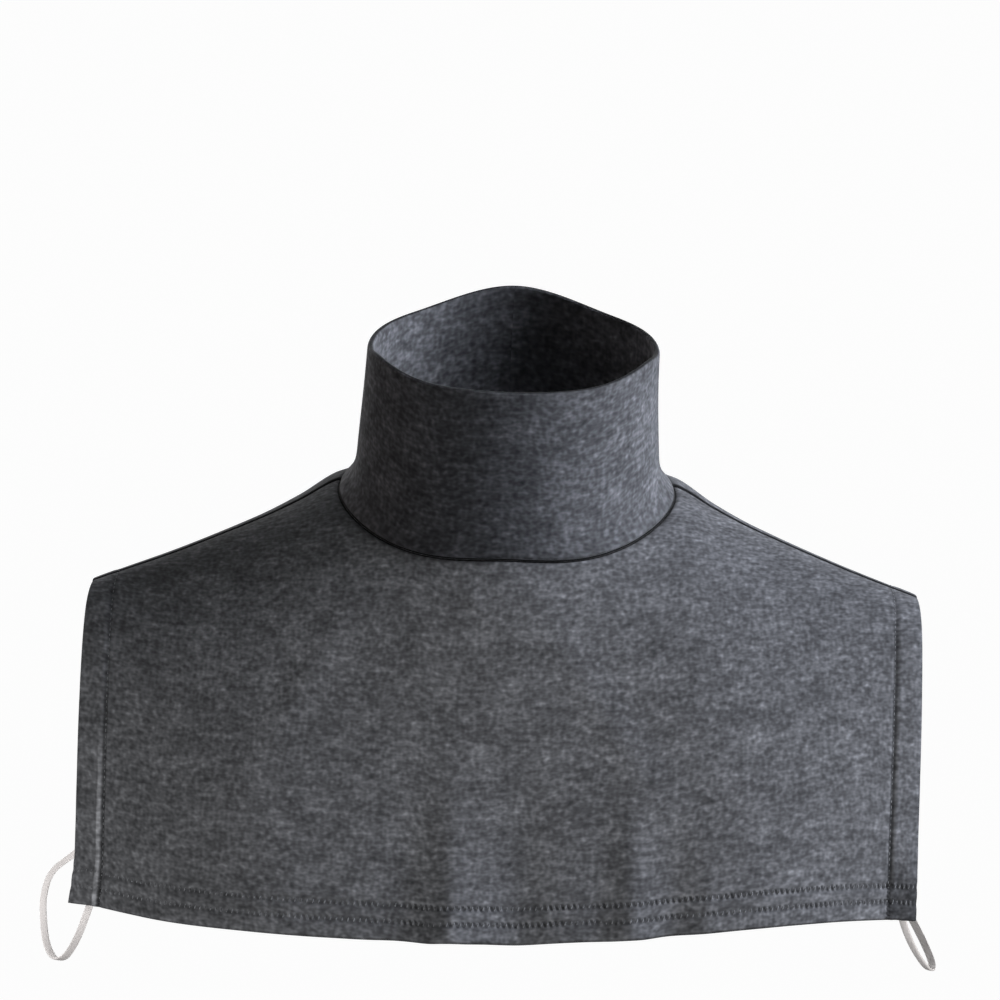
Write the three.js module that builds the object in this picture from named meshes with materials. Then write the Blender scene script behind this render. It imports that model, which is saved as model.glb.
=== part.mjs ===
// A mock-turtleneck dickey: a standing collar folded double at its rim, a front and a back bib
// that lie over the chest and the back, and a narrow elastic loop under each arm.
// Millimetres. +X is the viewer's right, the front faces -Y and +Z is up. The origin is the
// middle of the neck opening, level with the sides of the neck seam.

import * as THREE from 'three';

// Cloth walls and seams
const PANEL_WALL = 1.2;
const HEM_WALL = 2.2;
const COLLAR_WALL = 2.6;
const SEAM_GAP = 0.3;

// Neck seam seen from above
const NECK_WIDTH = 134;
const NECK_DEPTH = 115;
const NECK_CENTRE_Y = -3.5;

// Collar rim seen from above, how far it leans sideways, and the collar's height at the front
const RIM_WIDTH = 113.6;
const RIM_DEPTH = 108;
const RIM_LEAN_X = 1.5;
const RIM_CENTRE_Y = -8;
const COLLAR_HEIGHT = 66.5;

// Shoulders: the seam runs at one depth from the neck out to the tips
const SHOULDER_SEAM_Y = 6;
const SHOULDER_SPAN = 332;
const SHOULDER_DROP = 42;

// Bibs: width across the hem, how far the hem's middle lies below and before or behind the neck,
// and how far the worn hem has slipped sideways
const HEM_WIDTH = 334.5;
const FRONT_DROP = 162;
const FRONT_DEPTH = 98;
const BACK_DROP = 162;
const BACK_DEPTH = 95;
const HEM_SHIFT_X = -1.4;

// Turned hems, and the short ramp where the doubled cloth begins
const SIDE_HEM = 17.5;
const BOTTOM_HEM = 16;
const HEM_RAMP = 0.8;

// Soft folds that rise from the front hem
const FOLD_DEPTH = 2.6;

// Elastic
const ELASTIC_WIDTH = 3.4;

// Faceting: columns of a bib's half that end on the hem and on the side edge, the share of the
// half neck seam that faces the hem, and rows between the hems and the neck
const HEM_COLUMNS = 13;
const SIDE_COLUMNS = 9;
const CORNER_TURN = 0.46;
const FIELD_ROWS = 9;
const ELASTIC_SIDES = 8;
const ELASTIC_STEPS = 40;

// The share or angle that slopes and lengths are worked out over, and how often a search halves
// its span
const SMALL_STEP = 0.001;
const HALVINGS = 40;

// A table with one row for each place on the right half, carried over to the left half
const mirrored = (rows) => {
  const left = rows.slice(1).reverse();
  return [...left.map((row) => ({ ...row, across: -row.across })), ...rows];
};

// The line of the shoulders. across: share of the half span. height: share of SHOULDER_DROP.
// pitch: rise towards the back, in millimetres for each millimetre
const SHOULDER_LINE = mirrored([
  { across: 0.0, height: 0.4, pitch: 0.1 },
  { across: 0.4, height: 0.045, pitch: 0.14 },
  { across: 0.5, height: -0.172, pitch: 0.08 },
  { across: 0.6, height: -0.37, pitch: 0.04 },
  { across: 0.8, height: -0.705, pitch: 0.02 },
  { across: 1.0, height: -1.0, pitch: 0.0 },
]);

// Sections of a bib from the shoulder line down to the hem, each one Bezier curve.
// across: share of the half width. reach: how far the curve runs level before it turns down.
// rise and lean: where the hem's end of the curve comes from, above and inwards.
// depth and drop: the hem's place. Shares of the bib's depth, but rise and drop are shares of
// its drop.
const FRONT_SECTIONS = [
  { across: -1.0, reach: 0.3, lean: -0.03, rise: 0.4, depth: 0.43, drop: 1.0 },
  { across: -0.8, reach: 0.38, lean: 0.07, rise: 0.46, depth: 0.71, drop: 1.0 },
  { across: -0.6, reach: 0.47, lean: 0.17, rise: 0.55, depth: 0.89, drop: 0.994 },
  { across: -0.4, reach: 0.66, lean: 0.29, rise: 0.64, depth: 0.96, drop: 0.997 },
  { across: 0.0, reach: 1.03, lean: 0.4, rise: 0.64, depth: 1.0, drop: 1.0 },
  { across: 0.4, reach: 0.66, lean: 0.29, rise: 0.64, depth: 0.955, drop: 0.98 },
  { across: 0.6, reach: 0.47, lean: 0.17, rise: 0.55, depth: 0.87, drop: 0.968 },
  { across: 0.8, reach: 0.38, lean: 0.07, rise: 0.46, depth: 0.69, drop: 0.975 },
  { across: 1.0, reach: 0.3, lean: -0.03, rise: 0.4, depth: 0.43, drop: 1.002 },
];
const BACK_SECTIONS = mirrored([
  { across: 0.0, reach: 0.98, lean: 0.38, rise: 0.8, depth: 1.0, drop: 1.0 },
  { across: 0.4, reach: 0.62, lean: 0.2, rise: 0.68, depth: 0.98, drop: 1.0 },
  { across: 0.6, reach: 0.48, lean: 0.12, rise: 0.58, depth: 0.92, drop: 0.995 },
  { across: 0.8, reach: 0.42, lean: 0.06, rise: 0.5, depth: 0.77, drop: 0.99 },
  { across: 1.0, reach: 0.36, lean: 0.02, rise: 0.42, depth: 0.54, drop: 0.98 },
]);

// The side edge of both bibs. fall: share of the way from shoulder to hem. flare: share of the
// widening from the shoulder span to the hem width
const SIDE_EDGE = [
  { fall: 0.0, flare: 0.0 },
  { fall: 0.2, flare: 0.9 },
  { fall: 0.45, flare: 1.1 },
  { fall: 1.0, flare: 1.0 },
];

// Soft folds of the front hem. across and width: shares of the half width. depth: share of
// FOLD_DEPTH, forwards. height: share of the section that the fold climbs
const FRONT_FOLDS = [
  { across: -0.66, width: 0.15, depth: 0.35, height: 0.25 },
  { across: -0.22, width: 0.06, depth: -0.6, height: 0.3 },
  { across: -0.11, width: 0.07, depth: 1.0, height: 0.36 },
  { across: 0.32, width: 0.06, depth: 1.0, height: 0.32 },
  { across: 0.42, width: 0.05, depth: -0.6, height: 0.26 },
  { across: 0.6, width: 0.12, depth: 0.4, height: 0.25 },
];

// The collar's height around the neck. around: share of the way from front to back, with one row
// past each end, so that the rim runs level at its middle. height: share of COLLAR_HEIGHT
const COLLAR_HEIGHTS = [
  { around: -0.125, height: 1.014 },
  { around: 0.0, height: 1.0 },
  { around: 0.125, height: 1.014 },
  { around: 0.25, height: 0.995 },
  { around: 0.375, height: 0.958 },
  { around: 0.5, height: 0.886 },
  { around: 0.75, height: 0.913 },
  { around: 1.0, height: 0.978 },
  { around: 1.25, height: 0.913 },
];

// The collar's flare. up: share of its height. spread: share of the way from rim out to seam
const COLLAR_PROFILE = [
  { up: 0.0, spread: 1.0 },
  { up: 0.05, spread: 0.72 },
  { up: 0.11, spread: 0.46 },
  { up: 0.2, spread: 0.27 },
  { up: 0.36, spread: 0.18 },
  { up: 0.65, spread: 0.07 },
  { up: 1.0, spread: 0.0 },
];

// Where the collar's rows of facets lie, and how much of the wall is left at the rounded rim.
// up: share of its height. wall: share of COLLAR_WALL
const COLLAR_ROWS = [
  { up: 0.0, wall: 1.0 },
  { up: 0.05, wall: 1.0 },
  { up: 0.11, wall: 1.0 },
  { up: 0.2, wall: 1.0 },
  { up: 0.42, wall: 1.0 },
  { up: 0.68, wall: 1.0 },
  { up: 0.985, wall: 1.0 },
  { up: 1.0, wall: 0.45 },
];

// The routes of the elastics, each from inside the front corner down, out and up to inside the
// back corner. The left loop hangs wider than the right one
const RIGHT_ELASTIC_ROUTE = [
  [158.7, -42.2, -149.0],
  [159.6, -41.4, -156.0],
  [160.8, -40.2, -162.5],
  [162.8, -37.4, -168.6],
  [165.8, -32.2, -175.8],
  [169.4, -25.0, -182.8],
  [173.2, -15.0, -189.2],
  [176.0, -4.0, -192.6],
  [176.6, 8.0, -192.0],
  [173.8, 20.0, -186.8],
  [168.4, 31.0, -178.0],
  [162.8, 40.2, -168.6],
  [158.6, 48.0, -159.2],
  [156.4, 52.7, -149.5],
];
const LEFT_ELASTIC_ROUTE = [
  [-160.0, -44.5, -149.5],
  [-161.2, -43.4, -156.0],
  [-162.2, -42.4, -162.5],
  [-164.2, -40.2, -169.0],
  [-167.0, -35.0, -177.0],
  [-170.4, -26.6, -185.0],
  [-174.6, -16.0, -192.2],
  [-179.4, -4.0, -195.6],
  [-183.4, 8.4, -193.4],
  [-185.8, 20.4, -187.0],
  [-186.6, 30.4, -178.6],
  [-183.8, 38.8, -170.4],
  [-173.4, 45.0, -162.4],
  [-161.8, 50.1, -150.5],
];

// The smooth value of one column of a table at a place between its rows
const tableValue = (rows, key, column, place) => {
  const slopeAt = (index) => {
    const before = rows[Math.max(index - 1, 0)];
    const after = rows[Math.min(index + 1, rows.length - 1)];
    return (after[column] - before[column]) / (after[key] - before[key]);
  };
  const last = rows.length - 2;
  const found = rows.findIndex((row, index) => index <= last && place <= rows[index + 1][key]);
  const index = found < 0 ? last : found;
  const span = rows[index + 1][key] - rows[index][key];
  const t = THREE.MathUtils.clamp((place - rows[index][key]) / span, 0, 1);
  const startPart = (1 + 2 * t) * (1 - t) ** 2;
  const endPart = t * t * (3 - 2 * t);
  const startPull = t * (1 - t) ** 2 * span * slopeAt(index);
  const endPull = t * t * (t - 1) * span * slopeAt(index + 1);
  return startPart * rows[index][column] + startPull + endPart * rows[index + 1][column] + endPull;
};

const FRONT = {
  facing: -1,
  depth: FRONT_DEPTH,
  drop: FRONT_DROP,
  sections: FRONT_SECTIONS,
  folds: FRONT_FOLDS,
};
const BACK = {
  facing: 1,
  depth: BACK_DEPTH,
  drop: BACK_DROP,
  sections: BACK_SECTIONS,
  folds: [],
};

const halfWidthAt = (fall) => {
  const flare = tableValue(SIDE_EDGE, 'fall', 'flare', fall);
  return THREE.MathUtils.lerp(SHOULDER_SPAN, HEM_WIDTH, flare) / 2;
};

// How far the soft folds push the cloth outwards
const foldDepth = (folds, across, fall) =>
  folds.reduce((sum, fold) => {
    const sideways = Math.exp(-(((across - fold.across) / fold.width) ** 2));
    const climb = Math.max(0, (fall - 1 + fold.height) / fold.height);
    return sum + FOLD_DEPTH * fold.depth * sideways * climb ** 2;
  }, 0);

// A point of a bib's middle surface, at shares across and down it
const bibPoint = (bib, across, fall) => {
  const shoulder = (column) => tableValue(SHOULDER_LINE, 'across', column, across);
  const section = (column) => tableValue(bib.sections, 'across', column, across);
  const start = new THREE.Vector2(SHOULDER_SEAM_Y, shoulder('height') * SHOULDER_DROP);
  const reach = section('reach') * bib.depth;
  const level = start.clone();
  level.x += bib.facing * reach;
  level.y += bib.facing * reach * shoulder('pitch');
  const hem = new THREE.Vector2(bib.facing * section('depth') * bib.depth, -section('drop') * bib.drop);
  const above = hem.clone();
  above.x -= bib.facing * section('lean') * bib.depth;
  above.y += section('rise') * bib.drop;
  const place = new THREE.CubicBezierCurve(start, level, above, hem).getPoint(fall);
  const fold = foldDepth(bib.folds, across, fall);
  const x = across * halfWidthAt(fall) + fall * HEM_SHIFT_X;
  return new THREE.Vector3(x, place.x + bib.facing * fold, place.y);
};

// The outward direction of a bib's surface
const bibNormal = (bib, across, fall) => {
  const side = across > 0 ? -SMALL_STEP : SMALL_STEP;
  const down = fall > 0.5 ? -SMALL_STEP : SMALL_STEP;
  const here = bibPoint(bib, across, fall);
  const sideways = bibPoint(bib, across + side, fall).sub(here).divideScalar(side);
  const downwards = bibPoint(bib, across, fall + down).sub(here).divideScalar(down);
  return sideways.cross(downwards).multiplyScalar(bib.facing).normalize();
};

const acrossAt = (x, fall) => (x - fall * HEM_SHIFT_X) / halfWidthAt(fall);

// Where the neck seam crosses a bib: the angle goes round from +X towards the back
const neckPlace = (bib, angle) => {
  const x = (NECK_WIDTH / 2) * Math.cos(angle);
  const y = NECK_CENTRE_Y + (NECK_DEPTH / 2) * Math.sin(angle);
  let above = 0;
  let below = 1;
  for (let round = 0; round < HALVINGS; round += 1) {
    const fall = (above + below) / 2;
    const reached = bibPoint(bib, acrossAt(x, fall), fall).y;
    if (bib.facing * (reached - y) < 0) above = fall;
    else below = fall;
  }
  return { across: acrossAt(x, above), fall: above };
};

const SHOULDER_ANGLE = Math.asin((SHOULDER_SEAM_Y - NECK_CENTRE_Y) / (NECK_DEPTH / 2));
const isFront = (angle) => Math.sin(angle) < Math.sin(SHOULDER_ANGLE);

const neckPoint = (angle) => {
  const bib = isFront(angle) ? FRONT : BACK;
  const place = neckPlace(bib, angle);
  return bibPoint(bib, place.across, place.fall);
};

// A point of the collar's middle surface, at an angle round it and a share of its height
const collarPoint = (angle, up) => {
  const seam = neckPoint(angle);
  const around = Math.acos(THREE.MathUtils.clamp(-Math.sin(angle), -1, 1)) / Math.PI;
  const height = COLLAR_HEIGHT * tableValue(COLLAR_HEIGHTS, 'around', 'height', around);
  const spread = tableValue(COLLAR_PROFILE, 'up', 'spread', up);
  const rimX = (RIM_WIDTH / 2) * Math.cos(angle);
  const rimY = RIM_CENTRE_Y + (RIM_DEPTH / 2) * Math.sin(angle);
  const x = THREE.MathUtils.lerp(rimX, seam.x, spread) + RIM_LEAN_X * up ** 2;
  const y = THREE.MathUtils.lerp(rimY, seam.y, spread);
  return new THREE.Vector3(x, y, seam.z + up * height);
};

const collarNormal = (angle, up) => {
  const step = up > 0.5 ? -SMALL_STEP : SMALL_STEP;
  const here = collarPoint(angle, up);
  const upwards = collarPoint(angle, up + step).sub(here).divideScalar(step);
  const ahead = collarPoint(angle + SMALL_STEP, up);
  const around = ahead.sub(collarPoint(angle - SMALL_STEP, up));
  return around.cross(upwards).normalize();
};

// The direction in which the neck seam is cut through, shared by the collar and the bib below it
const neckSeamNormal = (angle) => {
  const bib = isFront(angle) ? FRONT : BACK;
  const place = neckPlace(bib, angle);
  return bibNormal(bib, place.across, place.fall).add(collarNormal(angle, 0)).normalize();
};

// The way from the neck seam up into the collar, along that cut's own normal
const neckSeamUp = (angle) => {
  const ahead = neckPoint(angle + SMALL_STEP);
  const along = ahead.sub(neckPoint(angle - SMALL_STEP)).normalize();
  return neckSeamNormal(angle).cross(along).normalize();
};

// A closed wall over a grid of places. Each place gives its middle point, the outward direction,
// and how far the wall goes outwards and inwards. Columns go round, rows go up
const wallGeometry = (grid, closed) => {
  const columns = grid.length;
  const rows = grid[0].length;
  const positions = [];
  for (const column of grid) {
    for (const place of column) {
      positions.push(...place.point.clone().addScaledVector(place.normal, place.outward));
      positions.push(...place.point.clone().addScaledVector(place.normal, -place.inward));
    }
  }
  const outer = (i, j) => 2 * ((i % columns) * rows + j);
  const inner = (i, j) => outer(i, j) + 1;
  const faces = [];
  const quad = (a, b, c, d) => faces.push(a, b, c, a, c, d);
  const spans = closed ? columns : columns - 1;
  for (let i = 0; i < spans; i += 1) {
    for (let j = 0; j < rows - 1; j += 1) {
      quad(outer(i, j), outer(i + 1, j), outer(i + 1, j + 1), outer(i, j + 1));
      quad(inner(i, j), inner(i, j + 1), inner(i + 1, j + 1), inner(i + 1, j));
    }
    quad(inner(i, 0), inner(i + 1, 0), outer(i + 1, 0), outer(i, 0));
    quad(outer(i, rows - 1), outer(i + 1, rows - 1), inner(i + 1, rows - 1), inner(i, rows - 1));
  }
  if (!closed) {
    const end = columns - 1;
    for (let j = 0; j < rows - 1; j += 1) {
      quad(inner(0, j), outer(0, j), outer(0, j + 1), inner(0, j + 1));
      quad(outer(end, j), inner(end, j), inner(end, j + 1), outer(end, j + 1));
    }
  }
  const geometry = new THREE.BufferGeometry();
  geometry.setAttribute('position', new THREE.Float32BufferAttribute(positions, 3));
  geometry.setIndex(faces);
  geometry.computeVertexNormals();
  return geometry;
};

// The share that a hem takes of a bib, walked inwards from its edge in small steps
const hemShare = (bib, width, placeAt) => {
  let share = 0;
  let walked = 0;
  let before = placeAt(bib, 0);
  while (walked < width) {
    share += SMALL_STEP;
    const here = placeAt(bib, share);
    walked += here.distanceTo(before);
    before = here;
  }
  return share;
};
const fromSideEdge = (fall) => (bib, share) => bibPoint(bib, 1 - share, fall);
const fromHemEdge = (across) => (bib, share) => bibPoint(bib, across, 1 - share);

// The columns of a bib's right half, from its middle round the corner to the shoulder tip.
// turn: share of the way round the neck seam. edge and inset: places on the bib's outer edge
// and on the inner line of its hems
const bibColumns = (bib) => {
  const cornerInset = 1 - hemShare(bib, SIDE_HEM, fromSideEdge(1));
  const cornerFall = 1 - hemShare(bib, BOTTOM_HEM, fromHemEdge(1));
  const columns = [];
  for (let index = 0; index <= HEM_COLUMNS; index += 1) {
    const across = index / HEM_COLUMNS;
    const inset = across * cornerInset;
    const insetFall = 1 - hemShare(bib, BOTTOM_HEM, fromHemEdge(across));
    columns.push({
      turn: across * CORNER_TURN,
      edge: { across, fall: 1 },
      inset: { across: inset, fall: insetFall },
    });
  }
  for (let index = 1; index <= SIDE_COLUMNS; index += 1) {
    const fall = 1 - index / SIDE_COLUMNS;
    const inset = 1 - hemShare(bib, SIDE_HEM, fromSideEdge(fall));
    columns.push({
      turn: THREE.MathUtils.lerp(CORNER_TURN, 1, index / SIDE_COLUMNS),
      edge: { across: 1, fall },
      inset: { across: inset, fall: fall * cornerFall },
    });
  }
  return columns;
};

const mixPlaces = (from, to, share) => ({
  across: THREE.MathUtils.lerp(from.across, to.across, share),
  fall: THREE.MathUtils.lerp(from.fall, to.fall, share),
});

// The places of one column, from the outer edge up to the neck seam
const bibColumnPlaces = (bib, column, side) => {
  const centre = (bib.facing * Math.PI) / 2;
  const halfTurn = Math.PI / 2 - bib.facing * SHOULDER_ANGLE;
  const angle = centre - bib.facing * side * column.turn * halfTurn;
  const neck = neckPlace(bib, angle);
  const mirror = (place) => ({ across: side * place.across, fall: place.fall });
  const edge = mirror(column.edge);
  const inset = mirror(column.inset);
  const places = [
    { ...edge, hemmed: true },
    { ...mixPlaces(inset, edge, HEM_RAMP / SIDE_HEM), hemmed: true },
  ];
  for (let row = 0; row <= FIELD_ROWS; row += 1) {
    places.push({ ...mixPlaces(inset, neck, row / FIELD_ROWS), hemmed: false });
  }
  return { angle, places, atShoulder: column.turn === 1 };
};

const bibGeometry = (bib) => {
  const half = bibColumns(bib);
  const leading = half.slice(1).reverse();
  const columns = [
    ...leading.map((column) => bibColumnPlaces(bib, column, bib.facing)),
    ...half.map((column) => bibColumnPlaces(bib, column, -bib.facing)),
  ];
  const grid = columns.map((column) => {
    const lastRow = column.places.length - 1;
    return column.places.map((place, row) => {
      const point = bibPoint(bib, place.across, place.fall);
      let normal = bibNormal(bib, place.across, place.fall);
      if (column.atShoulder) point.y += (bib.facing * SEAM_GAP) / 2;
      if (row === lastRow) {
        point.addScaledVector(neckSeamUp(column.angle), -SEAM_GAP / 2);
        normal = neckSeamNormal(column.angle);
      }
      const inward = place.hemmed ? HEM_WALL - PANEL_WALL / 2 : PANEL_WALL / 2;
      return { point, normal, outward: PANEL_WALL / 2, inward };
    });
  });
  return { geometry: wallGeometry(grid, false), angles: columns.map((column) => column.angle) };
};

const collarGeometry = (angles) => {
  const grid = angles.map((angle) =>
    COLLAR_ROWS.map((row, index) => {
      const point = collarPoint(angle, row.up);
      const atSeam = index === 0;
      if (atSeam) point.addScaledVector(neckSeamUp(angle), SEAM_GAP / 2);
      const normal = atSeam ? neckSeamNormal(angle) : collarNormal(angle, row.up);
      const half = (COLLAR_WALL * row.wall) / 2;
      return { point, normal, outward: half, inward: half };
    }),
  );
  return wallGeometry(grid, true);
};

const elasticGeometry = (route) => {
  const section = new THREE.Shape();
  for (let side = 0; side < ELASTIC_SIDES; side += 1) {
    const angle = (2 * Math.PI * side) / ELASTIC_SIDES;
    const x = (ELASTIC_WIDTH / 2) * Math.cos(angle);
    const y = (ELASTIC_WIDTH / 2) * Math.sin(angle);
    if (side === 0) section.moveTo(x, y);
    else section.lineTo(x, y);
  }
  section.closePath();
  const path = new THREE.CatmullRomCurve3(route.map((point) => new THREE.Vector3(...point)));
  return new THREE.ExtrudeGeometry(section, { steps: ELASTIC_STEPS, extrudePath: path });
};

const jersey = () => new THREE.MeshStandardMaterial({ color: 0x515257, roughness: 0.95, metalness: 0 });
const elastic = () => new THREE.MeshStandardMaterial({ color: 0xe6e0db, roughness: 0.8, metalness: 0 });

const addPiece = (group, name, geometry, material) => {
  const mesh = new THREE.Mesh(geometry, material);
  mesh.name = name;
  group.add(mesh);
};

const group = new THREE.Group();
const front = bibGeometry(FRONT);
const back = bibGeometry(BACK);
const collarAngles = [...front.angles.slice(0, -1), ...back.angles.slice(0, -1)];
addPiece(group, 'collar', collarGeometry(collarAngles), jersey());
addPiece(group, 'front_panel', front.geometry, jersey());
addPiece(group, 'back_panel', back.geometry, jersey());
addPiece(group, 'elastic_left', elasticGeometry(LEFT_ELASTIC_ROUTE), elastic());
addPiece(group, 'elastic_right', elasticGeometry(RIGHT_ELASTIC_ROUTE), elastic());

export default group;
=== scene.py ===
# The looks of a mock-turtleneck dickey: heathered jersey, twin-needle hems and white elastics.
# Tables and named lengths are in millimetres, and MM turns them into Blender's metres.
# +X is the viewer's right, the front faces -Y and +Z is up.

import math

import bpy
import numpy as np
from mathutils import Matrix, Vector


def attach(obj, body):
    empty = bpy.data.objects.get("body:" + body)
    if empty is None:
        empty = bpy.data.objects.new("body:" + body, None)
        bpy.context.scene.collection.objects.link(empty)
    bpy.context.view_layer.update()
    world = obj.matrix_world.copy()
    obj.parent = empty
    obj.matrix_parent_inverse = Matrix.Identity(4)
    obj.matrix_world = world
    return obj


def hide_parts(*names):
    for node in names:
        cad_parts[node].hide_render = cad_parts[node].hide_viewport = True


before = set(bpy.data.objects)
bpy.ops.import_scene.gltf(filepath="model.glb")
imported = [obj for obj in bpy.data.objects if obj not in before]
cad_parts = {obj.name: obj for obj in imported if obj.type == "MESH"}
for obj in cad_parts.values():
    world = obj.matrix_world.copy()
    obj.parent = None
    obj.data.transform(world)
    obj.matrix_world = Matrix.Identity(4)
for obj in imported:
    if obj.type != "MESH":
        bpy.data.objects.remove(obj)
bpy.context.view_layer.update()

MM = 0.001

# Camera: far away, a little above, with a slight roll. The origin lies beside the middle of the
# picture by this share of its width
CAMERA_DISTANCE = 2300
CAMERA_ELEVATION = 10
CAMERA_ROLL = 1.2
VIEW_WIDTH = 400
SENSOR_WIDTH = 36
ORIGIN_RIGHT = 0.007
ORIGIN_UP = 0.010

# Cloth walls, and one of the collar's two layers
PANEL_WALL = 1.2
HEM_WALL = 2.2
COLLAR_WALL = 2.6
COLLAR_LAYER = 1.15

# How a wall closes at a seam: over which length, how far past the seam it would be shut, and how
# far its faces sink there
SEAM_REACH = 1.0
SEAM_START = 0.1
BIB_SINK = 0.45
COLLAR_SINK = 0.35
COLLAR_INNER_SINK = 0.5

# Neck seam and collar rim seen from above, and the collar's height at the front
NECK_WIDTH = 134
NECK_DEPTH = 115
NECK_CENTRE_Y = -3.5
RIM_WIDTH = 113.6
RIM_DEPTH = 108
RIM_LEAN_X = 1.5
RIM_CENTRE_Y = -8
COLLAR_HEIGHT = 66.5

# How faintly the rim's fold takes the painted shade line of the seams, from 0, as dark as they are
RIM_PAINTED_SHADE = 0.45

# Shoulders and bibs
SHOULDER_SEAM_Y = 6
SHOULDER_SPAN = 332
SHOULDER_DROP = 42
HEM_WIDTH = 334.5
FRONT_DROP = 162
FRONT_DEPTH = 98
BACK_DROP = 162
BACK_DEPTH = 95
HEM_SHIFT_X = -1.4

# Hems: the turned cloth, its stitch rows and how far it swells between them
SIDE_HEM = 17.5
BOTTOM_HEM = 16
HEM_RAMP = 0.8
HEM_ROWS = (7.5, 13.9)
SIDE_ROW = 15.4
SIDE_ROW_TOP = 10.8
HEM_PUFF = 0.2
SIDE_PUFF = 0.9

# Over which length below the shoulder the side hems' swell and groove come in
SIDE_PUFF_START = 24

# Finer relief: the end of the turned cloth, the dips at the stitch rows, the puckers along them,
# and the unevenness of the side hems' swell, of a bib's cloth and of the collar's
HEM_STEP = 0.12
ROW_DIP = 0.3
SIDE_DIP = 0.5
PUCKER = 0.1
SIDE_WAVE = 0.25
BIB_WAVE = 0.1
COLLAR_WAVE = 0.12

# Stitches: their pitch along a row, half their length, their radius, how far they lean, and how
# far those of the side hems sink in
STITCH_PITCH = 2.3
STITCH_REACH = 1.15
STITCH_RADIUS = 0.27
STITCH_LEAN = 0.28
SIDE_SINK = 0.22

# How far the front's left corner is drawn outwards, and how far up and along the hem that reaches
CORNER_KICK = 2.2
KICK_HEIGHT = 22
KICK_WIDTH = 34

# How far the front's side edges curl forwards near the hem, and how wide and high the curl is
EDGE_CURL = 4.0
CURL_WIDTH = 11
CURL_HEIGHT = 32

# The depth of a soft fold that rises from a hem
FOLD_DEPTH = 2.6

# Elastics: their section, how far they twist in degrees, and the pitch of their ribs
ELASTIC_WIDTH = 3.0
ELASTIC_THICKNESS = 1.0
ELASTIC_TWIST = 20
RIB_PITCH = 0.8

# A length past every hem and seam, for the places where none is near
FAR = 500.0

# Fineness of the meshes, and the share of the turn round a bib at which its corner lies
HEM_COLUMNS = 116
SIDE_COLUMNS = 84
CORNER_TURN = 0.46
FIELD_ROWS = 46
SEAM_ROWS = 9
HEM_ROW_COUNT = 27
COLLAR_COLUMNS = 400
FOOT_ROWS = 12
COLLAR_ROWS = 40
INNER_ROWS = 12
RIM_ROWS = 13
ELASTIC_RINGS = 180
ELASTIC_SIDES = 16
STITCH_SIDES = 6
EDGE_ROWS = 5

# The share of the collar's height at its foot that has the closer rows
COLLAR_FOOT = 0.13

# How far apart the knits of two faces of the cloth lie in the noise that colours them
LAYER_APART = 60

# The step that slopes are taken over, and how often the search for the neck seam halves its range
SMALL_STEP = 0.001
HALVINGS = 40


def table(columns, rows):
    """Rows of numbers, kept by the names of their columns."""
    return {name: np.array(values, float) for name, values in zip(columns.split(), zip(*rows))}


def mirrored(columns, rows):
    """The same for rows that give the right half, carried over to the left half."""
    left = [(-row[0], *row[1:]) for row in reversed(rows[1:])]
    return table(columns, left + rows)


# The line of the shoulders. across: share of the half span. height: share of SHOULDER_DROP.
# pitch: rise towards the back, in millimetres for each millimetre
SHOULDER_LINE = mirrored("across height pitch", [
    (0.0, 0.4, 0.1),
    (0.4, 0.045, 0.14),
    (0.5, -0.172, 0.08),
    (0.6, -0.37, 0.04),
    (0.8, -0.705, 0.02),
    (1.0, -1.0, 0.0),
])

# Sections of a bib from the shoulder line down to the hem, each one Bezier curve.
# across: share of the half width. reach: how far the curve runs level before it turns down.
# rise and lean: where the hem's end of the curve comes from, above and inwards.
# depth and drop: the hem's place. Shares of the bib's depth, but rise and drop are of its drop
FRONT_SECTIONS = table("across reach lean rise depth drop", [
    (-1.0, 0.3, -0.03, 0.4, 0.43, 1.0),
    (-0.8, 0.38, 0.07, 0.46, 0.71, 1.0),
    (-0.6, 0.47, 0.17, 0.55, 0.89, 0.994),
    (-0.4, 0.66, 0.29, 0.64, 0.96, 0.997),
    (0.0, 1.03, 0.4, 0.64, 1.0, 1.0),
    (0.4, 0.66, 0.29, 0.64, 0.955, 0.98),
    (0.6, 0.47, 0.17, 0.55, 0.87, 0.968),
    (0.8, 0.38, 0.07, 0.46, 0.69, 0.975),
    (1.0, 0.3, -0.03, 0.4, 0.43, 1.002),
])
BACK_SECTIONS = mirrored("across reach lean rise depth drop", [
    (0.0, 0.98, 0.38, 0.8, 1.0, 1.0),
    (0.4, 0.62, 0.2, 0.68, 0.98, 1.0),
    (0.6, 0.48, 0.12, 0.58, 0.92, 0.995),
    (0.8, 0.42, 0.06, 0.5, 0.77, 0.99),
    (1.0, 0.36, 0.02, 0.42, 0.54, 0.98),
])

# The side edge of both bibs. fall: share of the way from shoulder to hem. flare: share of the
# widening from the shoulder span to the hem width
SIDE_EDGE = table("fall flare", [
    (0.0, 0.0),
    (0.2, 0.9),
    (0.45, 1.1),
    (1.0, 1.0),
])

# Soft folds of a hem. across and width: shares of the half width. depth: share of FOLD_DEPTH,
# forwards. height: share of the section that the fold climbs
FRONT_FOLDS = table("across width depth height", [
    (-0.66, 0.15, 0.35, 0.25),
    (-0.22, 0.06, -0.6, 0.3),
    (-0.11, 0.07, 1.0, 0.36),
    (0.32, 0.06, 1.0, 0.32),
    (0.42, 0.05, -0.6, 0.26),
    (0.6, 0.12, 0.4, 0.25),
])
BACK_FOLDS = table("across width depth height", [
    (0.0, 0.2, 0.0, 0.3),
])

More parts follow.
